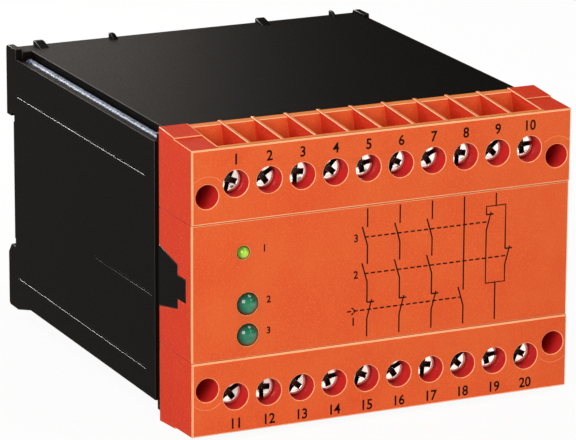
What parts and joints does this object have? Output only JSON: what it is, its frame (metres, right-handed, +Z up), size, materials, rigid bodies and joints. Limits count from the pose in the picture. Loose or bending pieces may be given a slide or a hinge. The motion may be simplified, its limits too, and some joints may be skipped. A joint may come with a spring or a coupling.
{
  "type": "safety relay module",
  "caption": "Rail-mounted safety relay: deep black housing, orange front panel with status lamps between two pull-off orange screw-terminal blocks with wire funnels.",
  "frame": {"origin": "middle of the rail seat, the face that lies against the rail", "axes": "+X to the right seen from the front, +Y from the front back to the rail, +Z up"},
  "size_m": [0.1, 0.1193, 0.073],
  "materials": {
    "housing_black": "fine-grained moulded black polyamide",
    "signal_orange": "fine-grained moulded orange polyamide",
    "lamp_lit": "clear yellow-green lamp dome",
    "lamp_dark": "tinted dark green lamp dome",
    "tinned_brass": "tin-plated brass",
    "board_laminate": "glass-fibre board with green mask",
    "clear_foil": "pale insulating foil",
    "relay_case": "moulded relay case",
    "core_steel": "varnished lamination stack",
    "spring_steel": "spring steel strip",
    "latch_black": "moulded black latch",
    "nickel_screw": "bright nickel-plated steel",
    "zinc_steel": "zinc-plated pressed steel"
  },
  "bodies": {
    "root": {"housing_body": "housing_black", "left_side_cover": "housing_black", "front_panel": "signal_orange", "supply_lamp": "lamp_lit", "channel_lamp_1": "lamp_dark", "channel_lamp_2": "lamp_dark", "plug_pins": "tinned_brass", "terminal_board": "board_laminate", "relay_board": "board_laminate", "board_foil": "clear_foil", "safety_relays": "relay_case", "supply_transformer": "core_steel", "latch_spring": "spring_steel"},
    "upper_block": {"upper_terminal_block": "signal_orange", "upper_contact_bars": "tinned_brass"},
    "lower_block": {"lower_terminal_block": "signal_orange", "lower_contact_bars": "tinned_brass"},
    "rail_latch": {"rail_latch": "latch_black"},
    "upper_screw_01": {"upper_screw_01": "nickel_screw"},
    "upper_clamp_01": {"upper_clamp_01": "zinc_steel"},
    "upper_screw_02": {"upper_screw_02": "nickel_screw"},
    "upper_clamp_02": {"upper_clamp_02": "zinc_steel"},
    "upper_screw_03": {"upper_screw_03": "nickel_screw"},
    "upper_clamp_03": {"upper_clamp_03": "zinc_steel"},
    "upper_screw_04": {"upper_screw_04": "nickel_screw"},
    "upper_clamp_04": {"upper_clamp_04": "zinc_steel"},
    "upper_screw_05": {"upper_screw_05": "nickel_screw"},
    "upper_clamp_05": {"upper_clamp_05": "zinc_steel"},
    "upper_screw_06": {"upper_screw_06": "nickel_screw"},
    "upper_clamp_06": {"upper_clamp_06": "zinc_steel"},
    "upper_screw_07": {"upper_screw_07": "nickel_screw"},
    "upper_clamp_07": {"upper_clamp_07": "zinc_steel"},
    "upper_screw_08": {"upper_screw_08": "nickel_screw"},
    "upper_clamp_08": {"upper_clamp_08": "zinc_steel"},
    "upper_screw_09": {"upper_screw_09": "nickel_screw"},
    "upper_clamp_09": {"upper_clamp_09": "zinc_steel"},
    "upper_screw_10": {"upper_screw_10": "nickel_screw"},
    "upper_clamp_10": {"upper_clamp_10": "zinc_steel"},
    "lower_screw_01": {"lower_screw_01": "nickel_screw"},
    "lower_clamp_01": {"lower_clamp_01": "zinc_steel"},
    "lower_screw_02": {"lower_screw_02": "nickel_screw"},
    "lower_clamp_02": {"lower_clamp_02": "zinc_steel"},
    "lower_screw_03": {"lower_screw_03": "nickel_screw"},
    "lower_clamp_03": {"lower_clamp_03": "zinc_steel"},
    "lower_screw_04": {"lower_screw_04": "nickel_screw"},
    "lower_clamp_04": {"lower_clamp_04": "zinc_steel"},
    "lower_screw_05": {"lower_screw_05": "nickel_screw"},
    "lower_clamp_05": {"lower_clamp_05": "zinc_steel"},
    "lower_screw_06": {"lower_screw_06": "nickel_screw"},
    "lower_clamp_06": {"lower_clamp_06": "zinc_steel"},
    "lower_screw_07": {"lower_screw_07": "nickel_screw"},
    "lower_clamp_07": {"lower_clamp_07": "zinc_steel"},
    "lower_screw_08": {"lower_screw_08": "nickel_screw"},
    "lower_clamp_08": {"lower_clamp_08": "zinc_steel"},
    "lower_screw_09": {"lower_screw_09": "nickel_screw"},
    "lower_clamp_09": {"lower_clamp_09": "zinc_steel"},
    "lower_screw_10": {"lower_screw_10": "nickel_screw"},
    "lower_clamp_10": {"lower_clamp_10": "zinc_steel"}
  },
  "joints": [
    {"name": "upper_block_pull", "type": "slide", "parent": "root", "child": "upper_block", "axis": [0, -1, 0], "range_m": [0, 0.022]},
    {"name": "lower_block_pull", "type": "slide", "parent": "root", "child": "lower_block", "axis": [0, -1, 0], "range_m": [0, 0.022]},
    {"name": "rail_latch_pull", "type": "slide", "parent": "root", "child": "rail_latch", "axis": [0, 0, -1], "range_m": [0, 0.0035], "stiffness_N_per_m": 1500, "springref_m": -0.003, "deforming": ["latch_spring"]},
    {"name": "upper_clamp_01_lift", "type": "slide", "parent": "upper_block", "child": "upper_clamp_01", "axis": [0, -1, 0], "range_m": [0, 0.0024]},
    {"name": "upper_screw_01_turn", "type": "hinge", "parent": "upper_block", "child": "upper_screw_01", "pos_m": [-0.0387, -0.1094, 0.0261], "axis": [0, 1, 0], "range_deg": [0, 1441]},
    {"name": "upper_clamp_02_lift", "type": "slide", "parent": "upper_block", "child": "upper_clamp_02", "axis": [0, -1, 0], "range_m": [0, 0.0024]},
    {"name": "upper_screw_02_turn", "type": "hinge", "parent": "upper_block", "child": "upper_screw_02", "pos_m": [-0.0301, -0.1094, 0.0261], "axis": [0, 1, 0], "range_deg": [0, 1441]},
    {"name": "upper_clamp_03_lift", "type": "slide", "parent": "upper_block", "child": "upper_clamp_03", "axis": [0, -1, 0], "range_m": [0, 0.0024]},
    {"name": "upper_screw_03_turn", "type": "hinge", "parent": "upper_block", "child": "upper_screw_03", "pos_m": [-0.0215, -0.1094, 0.0261], "axis": [0, 1, 0], "range_deg": [0, 1441]},
    {"name": "upper_clamp_04_lift", "type": "slide", "parent": "upper_block", "child": "upper_clamp_04", "axis": [0, -1, 0], "range_m": [0, 0.0024]},
    {"name": "upper_screw_04_turn", "type": "hinge", "parent": "upper_block", "child": "upper_screw_04", "pos_m": [-0.0129, -0.1094, 0.0261], "axis": [0, 1, 0], "range_deg": [0, 1441]},
    {"name": "upper_clamp_05_lift", "type": "slide", "parent": "upper_block", "child": "upper_clamp_05", "axis": [0, -1, 0], "range_m": [0, 0.0024]},
    {"name": "upper_screw_05_turn", "type": "hinge", "parent": "upper_block", "child": "upper_screw_05", "pos_m": [-0.0043, -0.1094, 0.0261], "axis": [0, 1, 0], "range_deg": [0, 1441]},
    {"name": "upper_clamp_06_lift", "type": "slide", "parent": "upper_block", "child": "upper_clamp_06", "axis": [0, -1, 0], "range_m": [0, 0.0024]},
    {"name": "upper_screw_06_turn", "type": "hinge", "parent": "upper_block", "child": "upper_screw_06", "pos_m": [0.0043, -0.1094, 0.0261], "axis": [0, 1, 0], "range_deg": [0, 1441]},
    {"name": "upper_clamp_07_lift", "type": "slide", "parent": "upper_block", "child": "upper_clamp_07", "axis": [0, -1, 0], "range_m": [0, 0.0024]},
    {"name": "upper_screw_07_turn", "type": "hinge", "parent": "upper_block", "child": "upper_screw_07", "pos_m": [0.0129, -0.1094, 0.0261], "axis": [0, 1, 0], "range_deg": [0, 1441]},
    {"name": "upper_clamp_08_lift", "type": "slide", "parent": "upper_block", "child": "upper_clamp_08", "axis": [0, -1, 0], "range_m": [0, 0.0024]},
    {"name": "upper_screw_08_turn", "type": "hinge", "parent": "upper_block", "child": "upper_screw_08", "pos_m": [0.0215, -0.1094, 0.0261], "axis": [0, 1, 0], "range_deg": [0, 1441]},
    {"name": "upper_clamp_09_lift", "type": "slide", "parent": "upper_block", "child": "upper_clamp_09", "axis": [0, -1, 0], "range_m": [0, 0.0024]},
    {"name": "upper_screw_09_turn", "type": "hinge", "parent": "upper_block", "child": "upper_screw_09", "pos_m": [0.0301, -0.1094, 0.0261], "axis": [0, 1, 0], "range_deg": [0, 1441]},
    {"name": "upper_clamp_10_lift", "type": "slide", "parent": "upper_block", "child": "upper_clamp_10", "axis": [0, -1, 0], "range_m": [0, 0.0024]},
    {"name": "upper_screw_10_turn", "type": "hinge", "parent": "upper_block", "child": "upper_screw_10", "pos_m": [0.0387, -0.1094, 0.0261], "axis": [0, 1, 0], "range_deg": [0, 1441]},
    {"name": "lower_clamp_01_lift", "type": "slide", "parent": "lower_block", "child": "lower_clamp_01", "axis": [0, -1, 0], "range_m": [0, 0.0024]},
    {"name": "lower_screw_01_turn", "type": "hinge", "parent": "lower_block", "child": "lower_screw_01", "pos_m": [-0.0387, -0.1094, -0.0261], "axis": [0, 1, 0], "range_deg": [0, 1441]},
    {"name": "lower_clamp_02_lift", "type": "slide", "parent": "lower_block", "child": "lower_clamp_02", "axis": [0, -1, 0], "range_m": [0, 0.0024]},
    {"name": "lower_screw_02_turn", "type": "hinge", "parent": "lower_block", "child": "lower_screw_02", "pos_m": [-0.0301, -0.1094, -0.0261], "axis": [0, 1, 0], "range_deg": [0, 1441]},
    {"name": "lower_clamp_03_lift", "type": "slide", "parent": "lower_block", "child": "lower_clamp_03", "axis": [0, -1, 0], "range_m": [0, 0.0024]},
    {"name": "lower_screw_03_turn", "type": "hinge", "parent": "lower_block", "child": "lower_screw_03", "pos_m": [-0.0215, -0.1094, -0.0261], "axis": [0, 1, 0], "range_deg": [0, 1441]},
    {"name": "lower_clamp_04_lift", "type": "slide", "parent": "lower_block", "child": "lower_clamp_04", "axis": [0, -1, 0], "range_m": [0, 0.0024]},
    {"name": "lower_screw_04_turn", "type": "hinge", "parent": "lower_block", "child": "lower_screw_04", "pos_m": [-0.0129, -0.1094, -0.0261], "axis": [0, 1, 0], "range_deg": [0, 1441]},
    {"name": "lower_clamp_05_lift", "type": "slide", "parent": "lower_block", "child": "lower_clamp_05", "axis": [0, -1, 0], "range_m": [0, 0.0024]},
    {"name": "lower_screw_05_turn", "type": "hinge", "parent": "lower_block", "child": "lower_screw_05", "pos_m": [-0.0043, -0.1094, -0.0261], "axis": [0, 1, 0], "range_deg": [0, 1441]},
    {"name": "lower_clamp_06_lift", "type": "slide", "parent": "lower_block", "child": "lower_clamp_06", "axis": [0, -1, 0], "range_m": [0, 0.0024]},
    {"name": "lower_screw_06_turn", "type": "hinge", "parent": "lower_block", "child": "lower_screw_06", "pos_m": [0.0043, -0.1094, -0.0261], "axis": [0, 1, 0], "range_deg": [0, 1441]},
    {"name": "lower_clamp_07_lift", "type": "slide", "parent": "lower_block", "child": "lower_clamp_07", "axis": [0, -1, 0], "range_m": [0, 0.0024]},
    {"name": "lower_screw_07_turn", "type": "hinge", "parent": "lower_block", "child": "lower_screw_07", "pos_m": [0.0129, -0.1094, -0.0261], "axis": [0, 1, 0], "range_deg": [0, 1441]},
    {"name": "lower_clamp_08_lift", "type": "slide", "parent": "lower_block", "child": "lower_clamp_08", "axis": [0, -1, 0], "range_m": [0, 0.0024]},
    {"name": "lower_screw_08_turn", "type": "hinge", "parent": "lower_block", "child": "lower_screw_08", "pos_m": [0.0215, -0.1094, -0.0261], "axis": [0, 1, 0], "range_deg": [0, 1441]},
    {"name": "lower_clamp_09_lift", "type": "slide", "parent": "lower_block", "child": "lower_clamp_09", "axis": [0, -1, 0], "range_m": [0, 0.0024]},
    {"name": "lower_screw_09_turn", "type": "hinge", "parent": "lower_block", "child": "lower_screw_09", "pos_m": [0.0301, -0.1094, -0.0261], "axis": [0, 1, 0], "range_deg": [0, 1441]},
    {"name": "lower_clamp_10_lift", "type": "slide", "parent": "lower_block", "child": "lower_clamp_10", "axis": [0, -1, 0], "range_m": [0, 0.0024]},
    {"name": "lower_screw_10_turn", "type": "hinge", "parent": "lower_block", "child": "lower_screw_10", "pos_m": [0.0387, -0.1094, -0.0261], "axis": [0, 1, 0], "range_deg": [0, 1441]}
  ],
  "couplings": [
    {"joint": "upper_screw_01_turn", "follows": "upper_clamp_01_lift", "rad_per_m": 10472},
    {"joint": "upper_screw_02_turn", "follows": "upper_clamp_02_lift", "rad_per_m": 10472},
    {"joint": "upper_screw_03_turn", "follows": "upper_clamp_03_lift", "rad_per_m": 10472},
    {"joint": "upper_screw_04_turn", "follows": "upper_clamp_04_lift", "rad_per_m": 10472},
    {"joint": "upper_screw_05_turn", "follows": "upper_clamp_05_lift", "rad_per_m": 10472},
    {"joint": "upper_screw_06_turn", "follows": "upper_clamp_06_lift", "rad_per_m": 10472},
    {"joint": "upper_screw_07_turn", "follows": "upper_clamp_07_lift", "rad_per_m": 10472},
    {"joint": "upper_screw_08_turn", "follows": "upper_clamp_08_lift", "rad_per_m": 10472},
    {"joint": "upper_screw_09_turn", "follows": "upper_clamp_09_lift", "rad_per_m": 10472},
    {"joint": "upper_screw_10_turn", "follows": "upper_clamp_10_lift", "rad_per_m": 10472},
    {"joint": "lower_screw_01_turn", "follows": "lower_clamp_01_lift", "rad_per_m": 10472},
    {"joint": "lower_screw_02_turn", "follows": "lower_clamp_02_lift", "rad_per_m": 10472},
    {"joint": "lower_screw_03_turn", "follows": "lower_clamp_03_lift", "rad_per_m": 10472},
    {"joint": "lower_screw_04_turn", "follows": "lower_clamp_04_lift", "rad_per_m": 10472},
    {"joint": "lower_screw_05_turn", "follows": "lower_clamp_05_lift", "rad_per_m": 10472},
    {"joint": "lower_screw_06_turn", "follows": "lower_clamp_06_lift", "rad_per_m": 10472},
    {"joint": "lower_screw_07_turn", "follows": "lower_clamp_07_lift", "rad_per_m": 10472},
    {"joint": "lower_screw_08_turn", "follows": "lower_clamp_08_lift", "rad_per_m": 10472},
    {"joint": "lower_screw_09_turn", "follows": "lower_clamp_09_lift", "rad_per_m": 10472},
    {"joint": "lower_screw_10_turn", "follows": "lower_clamp_10_lift", "rad_per_m": 10472}
  ]
}
